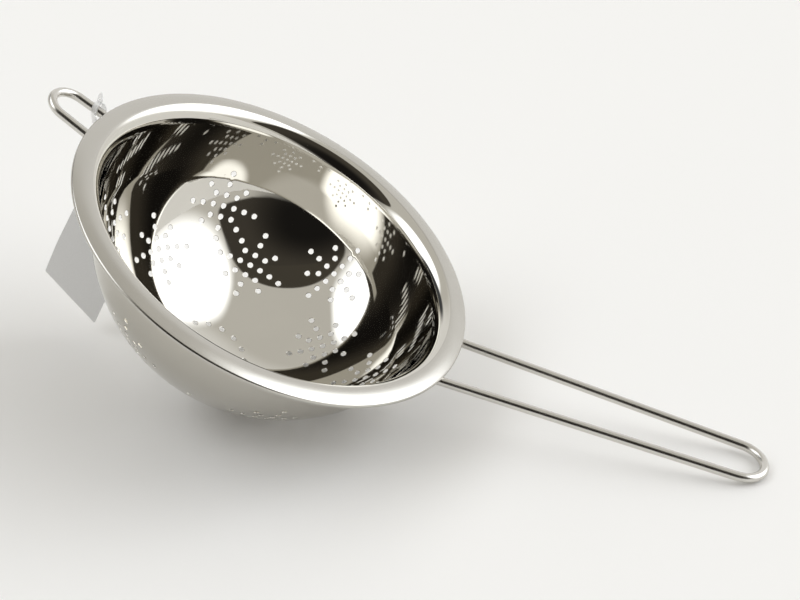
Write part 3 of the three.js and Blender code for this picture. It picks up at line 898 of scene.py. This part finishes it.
def steel(name, attribute, pitch, wander, tone, rough, bump):
    """Stainless steel: the height follows fine lines, the tone a faint cloud, the roughness both."""
    material, tree, shader = new_material(name)
    length = add(tree, "ShaderNodeAttribute", attribute_name=attribute)
    finish = add(tree, "ShaderNodeGroup", node_tree=FINE_LINES)
    tree.links.new(length.outputs["Fac"], finish.inputs["Length"])
    set_inputs(finish, Pitch=pitch * MM, Wander=wander)
    lines = finish.outputs["Lines"]
    cloud = finish.outputs["Cloud"]
    darker = tuple(t * (1 - CLOUD_SPREAD) for t in tone)
    lighter = tuple(t * (1 + CLOUD_SPREAD) for t in tone)
    roughness = span(tree, math_node(tree, "MULTIPLY", lines, cloud), *rough)
    tree.links.new(tone_between(tree, cloud, darker, lighter), shader.inputs["Base Color"])
    tree.links.new(roughness, shader.inputs["Roughness"])
    tree.links.new(bumped(tree, lines, bump, LINE_HEIGHT), shader.inputs["Normal"])
    set_inputs(shader, Metallic=1.0)
    return material


def board():
    """Uncoated white board, toned down to grey as painted shade: fibre flecks in its colour and a soft
    tooth.
    """
    material, tree, shader = new_material("board_painted_shade")
    fibre = noise(tree, place_on_piece(tree), Scale=900.0, Detail=5.0, Roughness=0.7)
    tree.links.new(tone_between(tree, fibre, SHADED_BOARD_DARK, SHADED_BOARD_LIGHT), shader.inputs["Base Color"])
    tree.links.new(span(tree, fibre, *BOARD_ROUGH), shader.inputs["Roughness"])
    tree.links.new(bumped(tree, fibre, BOARD_TOOTH, TOOTH_HEIGHT), shader.inputs["Normal"])
    return material


def clear_strap():
    """Clear plastic: a little cloud in its roughness."""
    material, tree, shader = new_material("clear_plastic")
    cloud = noise(tree, place_on_piece(tree), Scale=300.0, Detail=3.0)
    tree.links.new(span(tree, cloud, *STRAP_ROUGH), shader.inputs["Roughness"])
    set_inputs(shader, Base_Color=(*STRAP_TONE, 1), IOR=1.3, Transmission_Weight=0.7)
    return material


# Studio


def studio_floor():
    """A wide pale sheet under the part."""
    corners = FLOOR_HALF * np.array([[-1, -1, 0], [1, -1, 0], [1, 1, 0], [-1, 1, 0]])
    material, _, shader = new_material("pale_paper")
    set_inputs(shader, Base_Color=(*FLOOR_TONE, 1), Roughness=0.9, Specular_IOR_Level=0.1)
    floor = mesh_piece("floor", corners, [[0, 1, 2, 3]], [material])


def patch_mask(tree, look, azimuth, middle, half_width, half_height, edge, power):
    """Mask of a rounded box on an upright wall of the tent, in ratios to the wall's distance.

    Its edge is where |x / half_width|^power + |(z - middle) / half_height|^power = 1, with a smooth step.
    """
    turn = math.radians(azimuth)
    centre = (math.cos(turn), math.sin(turn), 0.0)
    right = (-math.sin(turn), math.cos(turn), 0.0)
    up = (0.0, 0.0, 1.0)

    def along(axis):
        """How far a look goes along an axis."""
        node = add(tree, "ShaderNodeVectorMath", operation="DOT_PRODUCT")
        tree.links.new(look, node.inputs[0])
        node.inputs[1].default_value = axis
        return node.outputs["Value"]

    ahead = math_node(tree, "MAXIMUM", along(centre), LEAST_AHEAD)

    def reach(axis, place, half):
        """Distance from the box's middle along an axis, in half sizes, to the power."""
        offset = math_node(tree, "SUBTRACT", math_node(tree, "DIVIDE", along(axis), ahead), place)
        share = math_node(tree, "DIVIDE", math_node(tree, "ABSOLUTE", offset), half)
        return math_node(tree, "POWER", share, power)

    total = math_node(tree, "ADD", reach(right, 0.0, half_width), reach(up, middle, half_height))
    distance = math_node(tree, "POWER", total, 1 / power)
    fade = add(tree, "ShaderNodeMapRange", interpolation_type="SMOOTHSTEP")
    tree.links.new(distance, fade.inputs["Value"])
    set_inputs(fade, From_Min=1 + edge, From_Max=1 - edge)
    return fade.outputs["Result"]


def studio_world():
    """Soft tent light: grey walls, bright panels at the sides and a dark opening on the camera's side.

    The camera itself, and what it sees through the strap, has only a plain pale surround.
    """
    world = bpy.data.worlds.new("tent")
    bpy.context.scene.world = world
    world.use_nodes = True
    tree = world.node_tree
    tree.nodes.clear()
    look = add(tree, "ShaderNodeTexCoord").outputs["Generated"]
    tent = TENT
    for *shape, tone in PATCHES:
        tent = tone_between(tree, patch_mask(tree, look, *shape), tent, tone)
    path = add(tree, "ShaderNodeLightPath")
    plain = math_node(tree, "MAXIMUM", path.outputs["Is Camera Ray"], path.outputs["Is Transmission Ray"])
    glow = add(tree, "ShaderNodeBackground")
    tree.links.new(tone_between(tree, plain, tent, BACKDROP), glow.inputs["Color"])
    leave = add(tree, "ShaderNodeOutputWorld")
    tree.links.new(glow.outputs[0], leave.inputs["Surface"])


def photo_camera():
    """Camera at the photograph's viewpoint."""
    data = bpy.data.cameras.new("camera")
    data.sensor_width = SENSOR_MM
    data.lens = SENSOR_MM * FOCAL_PIXELS / PHOTO_WIDTH
    data.clip_start, data.clip_end = CAMERA_CLIP
    camera = bpy.data.objects.new("camera", data)
    bpy.context.scene.collection.objects.link(camera)
    camera.location = (RIM_CENTRE + CAMERA_FROM_RIM) * MM
    camera.rotation_euler = Euler((math.radians(90 - CAMERA_DIP_DEG), 0, math.radians(CAMERA_TURN_DEG)))
    bpy.context.scene.camera = camera


# Steels: the attribute that their lines follow, pitch in millimetres, wander, tone, roughness and bump.
# Weld nuggets carry no such length, so their wander alone mottles them, by place
polished = steel("polished_steel", "arc", 0.35, 2.0, STEEL_TONE, (0.015, 0.09), 0.02)
# The outside steel's darker tone is painted shade, not a different metal
outside = steel("outside_steel_painted_shade", "arc", 0.35, 2.0, OUTSIDE_SHADE_TONE, (0.08, 0.26), 0.03)
satin = steel("satin_steel", "arc", 0.12, 3.0, SATIN_TONE, (0.17, 0.38), 0.12)
drawn = steel("drawn_wire", "run", 6.0, 60.0, WIRE_TONE, (0.18, 0.36), 0.05)
welded = steel("weld_steel", "run", 1.0, 400.0, WELD_TONE, (0.25, 0.6), 0.4)

bowl = build_bowl(polished, satin, outside)
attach(bowl, "strainer")
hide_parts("bowl")

handle_route = wire_route(**HANDLE)
rest_route = wire_route(**REST)
for name, route, node in (
    ("handle_wire", handle_route, "long_handle"),
    ("rest_wire", rest_route, "rest_loop"),
):
    wire = build_wire(name, route, drawn)
    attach(wire, "strainer")
    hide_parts(node)

welds = build_welds((handle_route, rest_route), welded)
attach(welds, "strainer")

strap = build_strap(clear_strap())
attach(strap, "strap")
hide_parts("tag_tie")

card = build_card(board())
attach(card, "card")
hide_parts("tag_card")

studio_floor()
studio_world()
photo_camera()
bpy.context.scene.view_settings.view_transform = "Standard"
